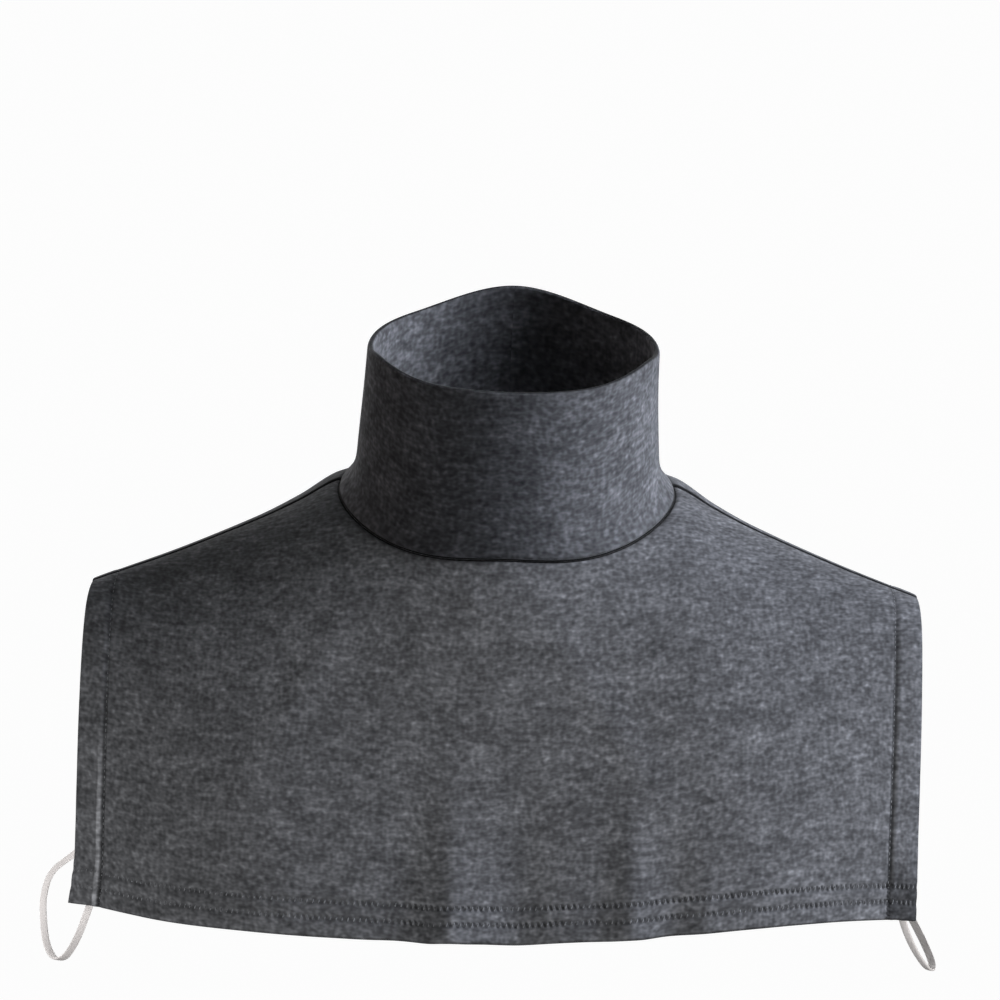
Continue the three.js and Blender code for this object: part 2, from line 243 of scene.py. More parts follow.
# Narrower folds that only show in the light, on top of those above
FRONT_RIPPLES = table("across width depth height", [
    (-0.5, 0.05, 0.2, 0.2),
    (-0.19, 0.04, -0.5, 0.3),
    (-0.11, 0.04, 1.4, 0.34),
    (-0.055, 0.06, 1.0, 0.34),
    (0.06, 0.06, -1.3, 0.3),
    (0.25, 0.04, -0.4, 0.26),
    (0.315, 0.035, 0.8, 0.3),
    (0.41, 0.035, -0.4, 0.24),
    (0.49, 0.03, 0.3, 0.22),
    (0.74, 0.05, 0.18, 0.22),
])
BACK_RIPPLES = table("across width depth height", [
    (-0.42, 0.06, 0.35, 0.3),
    (-0.3, 0.05, -0.25, 0.26),
    (0.12, 0.06, 0.3, 0.32),
    (0.24, 0.05, -0.25, 0.28),
    (0.6, 0.06, 0.25, 0.24),
])

# Soft drape lines of a bib, each from one place to another of its cloth.
# run: from the middle. up: from the hem. width and height: of the ridge, in millimetres
FRONT_DRAPES = table("run up end_run end_up width height", [
    (-52, 146, -100, 58, 7, 0.8),
    (-64, 140, -112, 60, 6, -0.5),
    (12, 132, 76, 34, 7, 0.8),
    (26, 132, 90, 36, 6, -0.25),
    (-16, 140, -6, 128, 3, 0.4),
])
BACK_DRAPES = table("run up end_run end_up width height", [
    (-40, 150, -86, 60, 8, 0.5),
    (44, 150, 92, 56, 8, 0.5),
])

# Creases of the collar. run: round from the middle of the front. up: from the seam
COLLAR_CREASES = table("run up end_run end_up width height", [
    (44, 38, 74, 30, 2.2, -0.45),
    (48, 42, 76, 35, 3.0, 0.3),
    (-70, 20, -40, 26, 5.0, -0.3),
    (-20, 12, 18, 10, 5.0, 0.25),
])

# The collar's height around the neck. around: share of the way from front to back, with one row
# past each end, so that the rim runs level at its middle. height: share of COLLAR_HEIGHT
COLLAR_HEIGHTS = table("around height", [
    (-0.125, 1.014),
    (0.0, 1.0),
    (0.125, 1.014),
    (0.25, 0.995),
    (0.375, 0.958),
    (0.5, 0.886),
    (0.75, 0.913),
    (1.0, 0.978),
    (1.25, 0.913),
])

# The collar's flare. up: share of its height. spread: share of the way from rim out to seam
COLLAR_PROFILE = table("up spread", [
    (0.0, 1.0),
    (0.05, 0.72),
    (0.11, 0.46),
    (0.2, 0.27),
    (0.36, 0.18),
    (0.65, 0.07),
    (1.0, 0.0),
])

# The routes of the elastics, each from inside the front corner down, out and up to inside the
# back corner
RIGHT_ELASTIC_ROUTE = [
    (158.7, -42.2, -149.0),
    (159.6, -41.4, -156.0),
    (160.8, -40.2, -162.5),
    (162.8, -37.4, -168.6),
    (165.8, -32.2, -175.8),
    (169.4, -25.0, -182.8),
    (173.2, -15.0, -189.2),
    (176.0, -4.0, -192.6),
    (176.6, 8.0, -192.0),
    (173.8, 20.0, -186.8),
    (168.4, 31.0, -178.0),
    (162.8, 40.2, -168.6),
    (158.6, 48.0, -159.2),
    (156.4, 52.7, -149.5),
]
LEFT_ELASTIC_ROUTE = [
    (-160.0, -44.5, -149.5),
    (-161.2, -43.4, -156.0),
    (-162.2, -42.4, -162.5),
    (-164.2, -40.2, -169.0),
    (-167.0, -35.0, -177.0),
    (-170.4, -26.6, -185.0),
    (-174.6, -16.0, -192.2),
    (-179.4, -4.0, -195.6),
    (-183.4, 8.4, -193.4),
    (-185.8, 20.4, -187.0),
    (-186.6, 30.4, -178.6),
    (-183.8, 38.8, -170.4),
    (-173.4, 45.0, -162.4),
    (-161.8, 50.1, -150.5),
]

# Studio lights: a name, the group of pieces that the light is masked to, degrees round from the
# front towards the right, degrees up, the angle in degrees that it fills, strength and colour
LIGHTS = [
    ("key", "cloth", 90, 28, 40, 8.1, (0.945, 0.99, 1.075)),
    ("collar_fill_right", "collar", 60, -35, 60, 2.1, (0.96, 1.0, 1.06)),
    ("collar_fill_left", "collar", -90, 8, 60, 0.75, (1.05, 0.97, 0.93)),
    ("bib_fill_low", "bibs", -20, -35, 60, 3.85, (1.0, 1.0, 0.97)),
    ("bib_fill_high", "bibs", 0, 60, 60, 0.2, (1.0, 1.0, 0.97)),
    ("elastic_front", "elastics", -50, 20, 60, 3.0, (1.0, 0.97, 0.96)),
    ("elastic_side", "elastics", 60, -10, 60, 2.7, (1.0, 0.97, 0.96)),
    ("elastic_back", "elastics", 180, 10, 60, 2.6, (1.0, 0.97, 0.96)),
    ("back", "cloth", 190, 14, 60, 2.7, (1.0, 1.0, 1.0)),
]

# Faint light from all round
AMBIENT = 0.05
AMBIENT_COLOUR = (0.97, 0.98, 1.0, 1)

# The stage, how far the camera sees, and how brightly floor and studio shine
FLOOR_DEPTH = 620
FLOOR_SIZE = 40000
STUDIO_RADIUS = 12000
CAMERA_REACH = 100000
FLOOR_BRIGHTNESS = 0.97
STUDIO_BRIGHTNESS = 1.0

# Jersey: the mean colours of bibs and collar, the collar's a little darker as painted shade, and how far
# light flecks differ from dark ones
JERSEY_COLOUR = (0.0675, 0.0685, 0.0745)
COLLAR_SHADED_COLOUR = (0.066, 0.067, 0.073)
HEATHER_CONTRAST = 60.0

# Flecks of the knit: their width and height in millimetres, the octaves past the first, a seed,
# and their share of the shade
KNIT_NOISES = {
    "fleck": (3.2, 2.0, 1.0, 11.7, 0.44),
    "broad": (14.0, 10.0, 1.0, 3.1, 0.26),
    "streak": (6.0, 1.8, 0.0, 57.3, 0.14),
    "fine": (1.7, 1.4, 0.0, 23.4, 0.16),
    "upright": (1.6, 3.0, 0.0, 41.9, 0.2),
}

# Painted light and shade on the front's side hems: a painted highlight on the lower left hem and on the
# ridge beside its stitches, and a painted shadow on the lower right hem, where the corner turns from the
# light. run: where along the hem one starts. full_run: from where it is full. top and full_top: the same
# over the hem. band and ridge: how much darker the painted shade makes the hem and the ridge beside its
# stitches, or how much lighter the painted highlight makes them by a negative number
HEM_PAINTED_LIGHT_AND_SHADE = table("run full_run top full_top band ridge", [
    (-110, -140, 78, 44, -0.1, -1.3),
    (120, 150, 30, 12, 0.5, 0.0),
])

# How much painted shade darkens the seams, the side hems' grooves, the hem's edge and the needle slits
SEAM_PAINTED_SHADE = 0.9
GROOVE_PAINTED_SHADE = 0.68
EDGE_PAINTED_SHADE = 0.4
SLIT_PAINTED_SHADE = 0.78

# Threads and elastics: a darker and a lighter colour each
THREAD_COLOURS = ((0.06, 0.062, 0.068), (0.13, 0.134, 0.146))
ELASTIC_COLOURS = ((0.77, 0.75, 0.74), (0.87, 0.85, 0.84))


def smooth_value(rows, key, column, place):
    """The smooth value of one column of a table at places between its rows."""
    keys = rows[key]
    values = rows[column]
    last = len(keys) - 1
    index = np.arange(last + 1)
    before = np.maximum(index - 1, 0)
    after = np.minimum(index + 1, last)
    slopes = (values[after] - values[before]) / (keys[after] - keys[before])
    low = np.clip(np.searchsorted(keys, place) - 1, 0, last - 1)
    span = keys[low + 1] - keys[low]
    t = np.clip((place - keys[low]) / span, 0, 1)
    start = (1 + 2 * t) * (1 - t) ** 2 * values[low] + t * (1 - t) ** 2 * span * slopes[low]
    end = t * t * (3 - 2 * t) * values[low + 1] + t * t * (t - 1) * span * slopes[low + 1]
    return start + end


def unit(vectors):
    """Vectors of length 1 in the same directions."""
    return vectors / np.linalg.norm(vectors, axis=-1, keepdims=True)


def bump(distance, width):
    """1 at distance 0, falling off smoothly over width."""
    return np.exp(-(distance / width) ** 2)


def fading(distance, reach):
    """1 at distance 0, falling evenly to 0 at the reach."""
    return np.clip(1 - distance / reach, 0, 1)


FRONT = {
    "name": "front",
    "facing": -1,
    "depth": FRONT_DEPTH,
    "drop": FRONT_DROP,
    "sections": FRONT_SECTIONS,
    "folds": FRONT_FOLDS,
    "ripples": FRONT_RIPPLES,
    "drapes": FRONT_DRAPES,
    "kick": CORNER_KICK,
    "curl": EDGE_CURL,
    "shoulder_fade": 1.0,
    "layer": 0,
}
BACK = {
    "name": "back",
    "facing": 1,
    "depth": BACK_DEPTH,
    "drop": BACK_DROP,
    "sections": BACK_SECTIONS,
    "folds": BACK_FOLDS,
    "ripples": BACK_RIPPLES,
    "drapes": BACK_DRAPES,
    "kick": 0,
    "curl": 0,
    "shoulder_fade": 0.3,
    "layer": 2 * LAYER_APART,
}


def half_width_at(fall):
    """Half of a bib's width at shares down it."""
    flare = smooth_value(SIDE_EDGE, "fall", "flare", fall)
    return (SHOULDER_SPAN + (HEM_WIDTH - SHOULDER_SPAN) * flare) / 2


def fold_depth(folds, across, fall):
    """How far the soft folds push the cloth outwards."""
    total = 0
    for place, width, depth, height in zip(*folds.values()):
        climb = np.maximum(0, (fall - 1 + height) / height)
        total = total + FOLD_DEPTH * depth * bump(across - place, width) * climb ** 2
    return total


def bib_point(bib, across, fall):
    """Points of a bib's middle surface, at shares across and down it."""
    across, fall = np.broadcast_arrays(np.asarray(across, float), np.asarray(fall, float))
    section = {name: smooth_value(bib["sections"], "across", name, across)
               for name in ("reach", "lean", "rise", "depth", "drop")}
    start_z = smooth_value(SHOULDER_LINE, "across", "height", across) * SHOULDER_DROP
    pitch = smooth_value(SHOULDER_LINE, "across", "pitch", across)
    outwards = bib["facing"] * bib["depth"]
    reach = section["reach"] * outwards
    curve_y = (
        SHOULDER_SEAM_Y,
        SHOULDER_SEAM_Y + reach,
        (section["depth"] - section["lean"]) * outwards,
        section["depth"] * outwards,
    )
    curve_z = (
        start_z,
        start_z + reach * pitch,
        (section["rise"] - section["drop"]) * bib["drop"],
        -section["drop"] * bib["drop"],
    )
    weights = ((1 - fall) ** 3, 3 * fall * (1 - fall) ** 2, 3 * fall ** 2 * (1 - fall), fall ** 3)
    y = sum(weight * value for weight, value in zip(weights, curve_y))
    z = sum(weight * value for weight, value in zip(weights, curve_z))
    x = across * half_width_at(fall) + fall * HEM_SHIFT_X
    return np.stack([x, y + bib["facing"] * fold_depth(bib["folds"], across, fall), z], -1)


def bib_slopes(bib, across, fall):
    """How a bib's middle surface runs sideways and downwards."""
    side = np.where(across > 0, -SMALL_STEP, SMALL_STEP)
    down = np.where(fall > 0.5, -SMALL_STEP, SMALL_STEP)
    here = bib_point(bib, across, fall)
    sideways = (bib_point(bib, across + side, fall) - here) / side[..., None]
    downwards = (bib_point(bib, across, fall + down) - here) / down[..., None]
    return sideways, downwards


def bib_normal(bib, across, fall):
    """The direction that a bib's middle surface faces, away from the body."""
    sideways, downwards = bib_slopes(bib, across, fall)
    return unit(bib["facing"] * np.cross(sideways, downwards))


def across_at(x, fall):
    """The share across a bib at an x, at shares down it."""
    return (x - fall * HEM_SHIFT_X) / half_width_at(fall)


def neck_place(bib, angle):
    """Where the neck seam crosses a bib. The angle goes round from +X towards the back."""
    x = NECK_WIDTH / 2 * np.cos(angle)
    y = NECK_CENTRE_Y + NECK_DEPTH / 2 * np.sin(angle)
    above = np.zeros_like(angle)
    below = np.ones_like(angle)
    for _ in range(HALVINGS):
        fall = (above + below) / 2
        reached = bib_point(bib, across_at(x, fall), fall)[..., 1]
        short = bib["facing"] * (reached - y) < 0
        above = np.where(short, fall, above)
        below = np.where(short, below, fall)
    return across_at(x, above), above


SHOULDER_ANGLE = math.asin((SHOULDER_SEAM_Y - NECK_CENTRE_Y) / (NECK_DEPTH / 2))


def neck_point(angle):
    """Points of the neck seam."""
    front = bib_point(FRONT, *neck_place(FRONT, angle))
    back = bib_point(BACK, *neck_place(BACK, angle))
    in_front = np.sin(angle) < math.sin(SHOULDER_ANGLE)
    return np.where(in_front[..., None], front, back)


def walked(points):
    """The length walked to each point along the last row of points."""
    steps = np.linalg.norm(np.diff(points, axis=-2), axis=-1)
    return np.concatenate([np.zeros((*steps.shape[:-1], 1)), np.cumsum(steps, axis=-1)], axis=-1)


class Lengths:
    """Lengths along a bib's cloth: from its hem, its shoulder, its side edge and its middle."""

    def __init__(self, bib, count=241):
        self.across = np.linspace(-1, 1, count)
        self.fall = np.linspace(0, 1, count)
        points = bib_point(bib, self.across[:, None], self.fall[None, :])
        down = walked(points)
        sideways = walked(points.swapaxes(0, 1)).T
        middle = sideways[count // 2]
        self.from_shoulder = down
        self.from_hem = down[:, -1:] - down
        self.from_middle = sideways - middle
        self.from_side = np.minimum(sideways, sideways[-1] - sideways)

    def at(self, name, across, fall):
        """One of the lengths at places across and down the bib."""
        values = getattr(self, name)
        last = len(self.fall) - 1
        column = np.clip((np.asarray(across) + 1) / 2 * last, 0, last - 1e-9)
        row = np.clip(np.asarray(fall) * last, 0, last - 1e-9)
        i, j = column.astype(int), row.astype(int)
        a, b = column - i, row - j
        upper = values[i, j] * (1 - a) + values[i + 1, j] * a
        lower = values[i, j + 1] * (1 - a) + values[i + 1, j + 1] * a
        return upper * (1 - b) + lower * b

    def all_at(self, across, fall):
        """The lengths from the hem, the side edge, the middle and the shoulder."""
        names = ("from_hem", "from_side", "from_middle", "from_shoulder")
        return [self.at(name, across, fall) for name in names]


for part in (FRONT, BACK):
    part["lengths"] = Lengths(part)


def share_from_edge(point_at, places, distance):
    """The share that a distance inwards takes at places along an edge.

    point_at gives the points for places and shares."""
    places = np.asarray(places, float)
    shares = np.linspace(0, 0.5, 401)
    lengths = walked(point_at(places[:, None], shares[None, :]))
    distance = np.broadcast_to(distance, places.shape)
    return np.array([np.interp(wanted, row, shares) for wanted, row in zip(distance, lengths)])


def share_from_hem(bib, across, distance):
    """The share of the way up a bib that a distance from its hem takes."""
    return share_from_edge(lambda at, share: bib_point(bib, at, 1 - share), across, distance)


def share_from_side(bib, fall, distance):
    """The share of the way across half a bib that a distance from its side takes."""
    return share_from_edge(lambda at, share: bib_point(bib, 1 - share, at), fall, distance)


def swell(distance, start, end, height):
    """A rounded ridge between two distances from an edge."""
    t = np.clip((distance - start) / (end - start), 0, 1)
    return height * np.sin(math.pi * t) ** 0.7


def along_lines(lines, run, up):
    """Soft ridges and creases along straight lines of the cloth."""
    total = 0
    for line in zip(*lines.values()):
        start_run, start_up, end_run, end_up, width, height = line
        way = np.array([end_run - start_run, end_up - start_up])
        length = np.linalg.norm(way)
        way = way / length
        ahead = (run - start_run) * way[0] + (up - start_up) * way[1]
        aside = (up - start_up) * way[0] - (run - start_run) * way[1]
        fade = np.sin(math.pi * np.clip((ahead / length + 0.2) / 1.4, 0, 1)) ** 2
        total = total + height * fade * bump(aside, width)
    return total


def side_row(below):
    """How far the side hem's stitch row lies from the side edge, at heights over the hem."""
    return SIDE_ROW + (SIDE_ROW_TOP - SIDE_ROW) * np.clip(below / FRONT_DROP, 0, 1)


def bib_relief(bib, across, fall):
    """How far a bib's outer face stands off its plain wall: folds, hem ridges and stitch grooves."""
    below, beside, run, from_shoulder = bib["lengths"].all_at(across, fall)
    first, second = HEM_ROWS
    relief = swell(below, 0, first, HEM_PUFF) + swell(below, first, second, HEM_PUFF)
    relief += HEM_STEP * bump(below - BOTTOM_HEM, 1.4)
    pucker = np.sin(run * 0.71 + np.sin(run * 0.13) * 2) * np.sin(run * 0.233 + 1.3)
    for row in HEM_ROWS:
        relief -= ROW_DIP * bump(below - row, 1.1)
        relief += PUCKER * pucker * bump(below - row, 4)
    row = side_row(below)
    start = np.clip(from_shoulder / SIDE_PUFF_START, 0, 1)
    wave = 1 + SIDE_WAVE * np.sin(below * 0.31 + across * 2) * np.sin(below * 0.083 + 0.7)
    low = (0.3 + 0.7 * fading(below, FRONT_DROP)) * start
    relief += swell(beside, 0, row, SIDE_PUFF) * wave * start
    relief -= SIDE_DIP * bump(beside - row, 0.7) * low
    relief += SIDE_DIP * bump(beside - row + 2.0, 1.2) * low
    relief += fold_depth(bib["ripples"], across, fall)
    relief += along_lines(bib["drapes"], run, below)
    uneven = np.sin(run / 13 + np.sin(below / 19)) * np.sin(below / 17 + 0.6 + np.sin(run / 23))
    relief += BIB_WAVE * uneven
    return relief


def seam_dip(distance):
    """How much of a wall is left beside a seam, where the cloth turns in."""
    return 1 - bump(distance + SEAM_START, SEAM_REACH)


def bib_face(bib, across, fall, outward=True, seam_distance=None):
    """Points of a bib's outer or inner face."""
    below, beside, _, from_shoulder = bib["lengths"].all_at(across, fall)
    point = bib_point(bib, across, fall)
    normal = bib_normal(bib, across, fall)
    near_corner = fading(below, KICK_HEIGHT) ** 1.6 * fading(beside, KICK_WIDTH)
    point[..., 0] -= bib["kick"] * near_corner * (across < 0)
    curl = fading(beside, CURL_WIDTH) * fading(below, CURL_HEIGHT) ** 0.7
    point[..., 1] -= bib["curl"] * curl
    left = seam_dip(from_shoulder)
    if seam_distance is not None:
        left = left * seam_dip(seam_distance)
    if outward:
        offset = (PANEL_WALL / 2 + bib_relief(bib, across, fall)) * left - BIB_SINK * (1 - left)
    else:
        hem = np.maximum(
            np.clip((BOTTOM_HEM - below) / HEM_RAMP, 0, 1),
            np.clip((SIDE_HEM - beside) / HEM_RAMP, 0, 1),
        )
        ripples = fold_depth(bib["ripples"], across, fall)
        offset = ripples - PANEL_WALL / 2 - (HEM_WALL - PANEL_WALL) * hem
    return point + normal * offset[..., None]


def bib_columns(bib):
    """Places of a bib's columns, from one shoulder tip round the hem to the other."""
    corner_inset = 1 - share_from_side(bib, [1.0], SIDE_HEM)[0]
    corner_fall = 1 - share_from_hem(bib, [1.0], BOTTOM_HEM)[0]
    hem_across = np.linspace(0, 1, HEM_COLUMNS + 1)
    inset_fall = 1 - share_from_hem(bib, hem_across, BOTTOM_HEM)
    side_fall = np.concatenate([
        np.linspace(1, 0.03, SIDE_COLUMNS)[1:],
        np.array([0.021, 0.014, 0.009, 0.005, 0.002, 0.0]),
    ])
    half = {
        "turn": np.concatenate([hem_across * CORNER_TURN,
                                CORNER_TURN + (1 - side_fall) * (1 - CORNER_TURN)]),
        "across": np.concatenate([hem_across, np.ones_like(side_fall)]),
        "fall": np.concatenate([np.ones_like(hem_across), side_fall]),
        "inset_across": np.concatenate([hem_across * corner_inset,
                                        1 - share_from_side(bib, side_fall, SIDE_HEM)]),
        "inset_fall": np.concatenate([inset_fall, side_fall * corner_fall]),
    }
    side = np.concatenate([np.full(len(half["turn"]) - 1, float(bib["facing"])),
                           np.full(len(half["turn"]), -float(bib["facing"]))])
    whole = {name: np.concatenate([values[:0:-1], values]) for name, values in half.items()}
    centre = bib["facing"] * math.pi / 2
    half_turn = math.pi / 2 - bib["facing"] * SHOULDER_ANGLE
    whole["angle"] = centre - bib["facing"] * side * whole["turn"] * half_turn
    whole["across"] = side * whole["across"]
    whole["inset_across"] = side * whole["inset_across"]
    return whole


def bib_places(bib):
    """The grid of places of a bib: columns along its edges, rows from the hems to the neck."""
    columns = bib_columns(bib)
    neck_across, neck_fall = neck_place(bib, columns["angle"])
    turns = np.linspace(0, math.pi / 2, EDGE_ROWS + 1)[:-1]
    edge_round = (1 - np.cos(turns)) * HEM_WALL / 2 / BOTTOM_HEM
    hem_rows = np.concatenate([edge_round, np.linspace(HEM_WALL / 2 / BOTTOM_HEM, 1, HEM_ROW_COUNT)[:-1]])
    field_rows = np.concatenate([
        np.linspace(0, 0.93, FIELD_ROWS)[:-1],
        1 - 0.07 * (1 - np.linspace(0, 1, SEAM_ROWS)) ** 1.5,
    ])
    grids = []
    for edge, inset, neck in (
        (columns["across"], columns["inset_across"], neck_across),
        (columns["fall"], columns["inset_fall"], neck_fall),
    ):
        hem = edge[:, None] + (inset - edge)[:, None] * hem_rows
        field = inset[:, None] + (neck - inset)[:, None] * field_rows
        grids.append(np.concatenate([hem, field], axis=1))
    return grids


def make_mesh(name, points, faces, material, maps):
    """A smooth mesh from millimetre points and faces. maps: lengths of the cloth at its corners."""
    mesh = bpy.data.meshes.new(name)
    mesh.from_pydata((points * MM).tolist(), [], faces)
    mesh.polygons.foreach_set("use_smooth", np.ones(len(mesh.polygons), bool))
    for key, values in maps.items():
        attribute = mesh.attributes.new(key, "FLOAT_VECTOR", "CORNER")
        attribute.data.foreach_set("vector", (values * MM).astype(np.float32).ravel())
    mesh.materials.append(material)
    mesh.update()
    piece = bpy.data.objects.new(name, mesh)
    bpy.context.scene.collection.objects.link(piece)
    return piece


def loop_mesh(name, loops, maps, material, closed):
    """A body whose columns are closed loops of points, joined side by side.

    maps hold a value for each point, with one more row, and one more column if it closes."""
    columns, rows = loops.shape[:2]
    spans = columns if closed else columns - 1
    i, j = np.meshgrid(np.arange(spans), np.arange(rows), indexing="ij")
    corners = [(i, j), (i + 1, j), (i + 1, j + 1), (i, j + 1)]
    faces = np.stack([(a % columns) * rows + b % rows for a, b in corners], -1).reshape(-1, 4).tolist()
    places = [(np.stack([a for a, _ in corners], -1).ravel(), np.stack([b for _, b in corners], -1).ravel())]
    if not closed:
        middle = rows // 2
        caps = [(k, k + 1, rows - 2 - k, rows - 1 - k) for k in range(middle - 1)]
        if rows % 2:
            caps.append((middle - 1, middle, middle + 1))
        for column, turn in ((0, 1), (columns - 1, -1)):
            for cap in caps:
                ring = np.array(cap[::turn])
                faces.append((column * rows + ring).tolist())
                places.append((np.full(len(ring), column), ring))
    at_column, at_row = (np.concatenate(values) for values in zip(*places))
    maps = {key: values[at_column, at_row] for key, values in maps.items()}
    return make_mesh(name, loops.reshape(-1, 3), faces, material, maps)


def bib_mesh(bib, material):
    """A bib as one wall of cloth with rounded, doubled hems."""
    across, fall = bib_places(bib)
    seam = neck_point(np.linspace(0, 2 * math.pi, 721))
    middle = bib_point(bib, across, fall)
    near = middle[:, -SEAM_ROWS - 4:]
    gaps = np.linalg.norm(near[:, :, None] - seam[None, None], axis=-1).min(axis=-1)
    seam_distance = np.full(across.shape, FAR)
    seam_distance[:, -SEAM_ROWS - 4:] = gaps
    outer = bib_face(bib, across, fall, True, seam_distance)
    inner = bib_face(bib, across, fall, False, seam_distance)
    centre = (outer[:, :EDGE_ROWS] + inner[:, :EDGE_ROWS]) / 2
    for row, turn in enumerate(np.linspace(0, math.pi / 2, EDGE_ROWS + 1)[:-1]):
        share = math.sin(turn)
        outer[:, row] = centre[:, row] + (outer[:, row] - centre[:, row]) * share
        inner[:, row] = centre[:, row] + (inner[:, row] - centre[:, row]) * share
    loops = np.concatenate([outer[:, ::-1], inner[:, 1:]], axis=1)
    below, beside, run, from_shoulder = bib["lengths"].all_at(across, fall)
    # Distance to the nearest seam, for the painted shade along the seams; on the back the shoulder seam's
    # distance counts less, so the painted shade spreads wider there
    seams = np.minimum(seam_distance, from_shoulder * bib["shoulder_fade"])

    def around(face, behind):
        return np.concatenate([face[:, ::-1], behind[:, 1:], face[:, -1:]], axis=1)

    face = np.stack([run, below, np.full_like(run, bib["layer"])], -1)
    edge = np.stack([below, beside - side_row(below), seams], -1)
    maps = {
        "cloth": around(face, face + np.array([0, 0, LAYER_APART])),
        "edge": around(edge, np.stack([np.full_like(run, FAR), np.full_like(run, FAR), seams], -1)),
    }
    return loop_mesh(f"{bib['name']}_bib", loops, maps, material, closed=False)


def cut_size(bib):
    """The width, length and area of the flat piece that a bib is cut from, hems let down."""
    lengths = bib["lengths"]
    hem = lengths.at("from_middle", 1, 1) - lengths.at("from_middle", -1, 1)
    side = lengths.at("from_hem", 1, 0)
    neck_across, _ = neck_place(bib, np.array([SHOULDER_ANGLE]))
    longest = lengths.at("from_hem", neck_across[0], 0)
    across, fall = bib_places(bib)
    points = bib_point(bib, across, fall)
    diagonals = points[1:, 1:] - points[:-1, :-1], points[1:, :-1] - points[:-1, 1:]
    worn = np.linalg.norm(np.cross(*diagonals), axis=-1).sum() / 2
    area = worn + 2 * side * SIDE_HEM + hem * BOTTOM_HEM
    return (hem + 2 * SIDE_HEM) * MM, (longest + BOTTOM_HEM) * MM, area * MM ** 2


def node(tree, kind, settings=None, **inputs):
    """A shader node with its settings and its inputs, which are values or other nodes' sockets."""
    made = tree.nodes.new(kind)
    for name, value in (settings or {}).items():
        setattr(made, name, value)
    for name, value in inputs.items():
        socket = made.inputs[int(name[1:])] if name[0] == "_" else made.inputs[name.replace("_", " ")]
        if isinstance(value, bpy.types.NodeSocket):
            tree.links.new(value, socket)
        else:
            socket.default_value = value
    return made


def maths(tree, operation, *values):
    """The result of a maths node on values or sockets."""
    inputs = {f"_{index}": value for index, value in enumerate(values)}
    return node(tree, "ShaderNodeMath", {"operation": operation}, **inputs).outputs[0]


def product(tree, first, *others):
    """The product of sockets or values."""
    for other in others:
        first = maths(tree, "MULTIPLY", first, other)
    return first


def remap(tree, value, low, high, out_low=0.0, out_high=1.0):
    """The value carried over smoothly from one range to another."""
    inputs = {"_0": value, "_1": low, "_2": high, "_3": out_low, "_4": out_high}
    return node(tree, "ShaderNodeMapRange", {"interpolation_type": "SMOOTHSTEP"}, **inputs).outputs[0]


def stretched_noise(tree, cloth, width, height, detail, seed):
    """Noise in flecks of about that width across and height up the cloth, in millimetres."""
    scale = (1 / (width * MM), 1 / (height * MM), 1 / (width * MM))
    place = node(tree, "ShaderNodeVectorMath", {"operation": "MULTIPLY_ADD"},
                 _0=cloth, _1=scale, _2=(seed, seed * 1.7, seed * 0.6)).outputs[0]
    return node(tree, "ShaderNodeTexNoise", Vector=place, Scale=1.0, Detail=detail,
                Roughness=0.55).outputs[0]


def blend_colour(tree, share, first, second):
    """The first colour where the share is 0, the second where it is 1."""
    mixed = node(tree, "ShaderNodeMix", {"data_type": "RGBA"}, _0=share)
    mixed.inputs[6].default_value = (*first, 1.0)
    mixed.inputs[7].default_value = (*second, 1.0)
    return mixed.outputs[2]


def new_material(name):
    """A material with its node tree and its shader."""
    material = bpy.data.materials.new(name)
    material.use_nodes = True
    tree = material.node_tree
    return material, tree, tree.nodes["Principled BSDF"]


def set_shader(shader, **values):
    """Sets the shader's own sockets, each to one value all over the surface."""
    for name, value in values.items():
        shader.inputs[name.replace("_", " ")].default_value = value


def cloth_map(tree, name):
    """A map that the meshes carry, whole and as its three lengths."""
    whole = node(tree, "ShaderNodeAttribute", {"attribute_name": name}).outputs["Vector"]
    return whole, node(tree, "ShaderNodeSeparateXYZ", _0=whole).outputs


def near(tree, distance, place, reach, core=0.35):
    """1 within a share of the reach round a place, smoothly down to 0 a reach away from it."""
    away = maths(tree, "ABSOLUTE", maths(tree, "SUBTRACT", distance, place * MM))
    return remap(tree, away, reach * MM, reach * MM * core)


def darkened(tree, shade, mask, depth):
    """A shade made darker where the mask is 1, or lighter by a negative depth."""
    return maths(tree, "MULTIPLY", shade, maths(tree, "MULTIPLY_ADD", mask, -depth, 1.0))


def knit_shade(tree, cloth):
    """The knit's shade, about 1 in the mean, and its noises by their names."""
    noises = {name: stretched_noise(tree, cloth, *row[:-1]) for name, row in KNIT_NOISES.items()}
    tone = 0.0
    for name, noise in noises.items():
        tone = maths(tree, "MULTIPLY_ADD", noise, KNIT_NOISES[name][-1], tone)
    middle = sum(row[-1] for row in KNIT_NOISES.values()) / 2
    shade = maths(tree, "POWER", HEATHER_CONTRAST, maths(tree, "SUBTRACT", tone, middle))
    return shade, noises


def hem_painted_light_and_shade(tree, shade, run, below, beside, in_front):
    """The shade with painted shade in the side hems' grooves and along the hem's edge, and with the painted
    highlight and painted shadow on the front's side hems.
    """
    # Painted shade in the side hems' grooves, stronger towards the hem
    low = remap(tree, below, 150 * MM, 10 * MM, 0.25, 1.0)
    shade = darkened(tree, shade, product(tree, near(tree, beside, 0.0, 1.3), low), GROOVE_PAINTED_SHADE)
    hem = remap(tree, beside, 0.0, -1.5 * MM)
    beside_row = near(tree, beside, -1.4, 1.6)
    # Painted highlight on the lower left hem and its ridge, painted shadow on the lower right corner
    for start, full, top, full_top, band, ridge in zip(*HEM_PAINTED_LIGHT_AND_SHADE.values()):
        along = remap(tree, run, start * MM, full * MM)
        painted_stretch = product(tree, along, remap(tree, below, top * MM, full_top * MM), in_front)
        shade = darkened(tree, shade, product(tree, painted_stretch, hem), band)
        shade = darkened(tree, shade, product(tree, painted_stretch, beside_row), ridge)
    # Painted shadow along the hem's lower edge
    return darkened(tree, shade, near(tree, below, 0.0, 1.2), EDGE_PAINTED_SHADE)


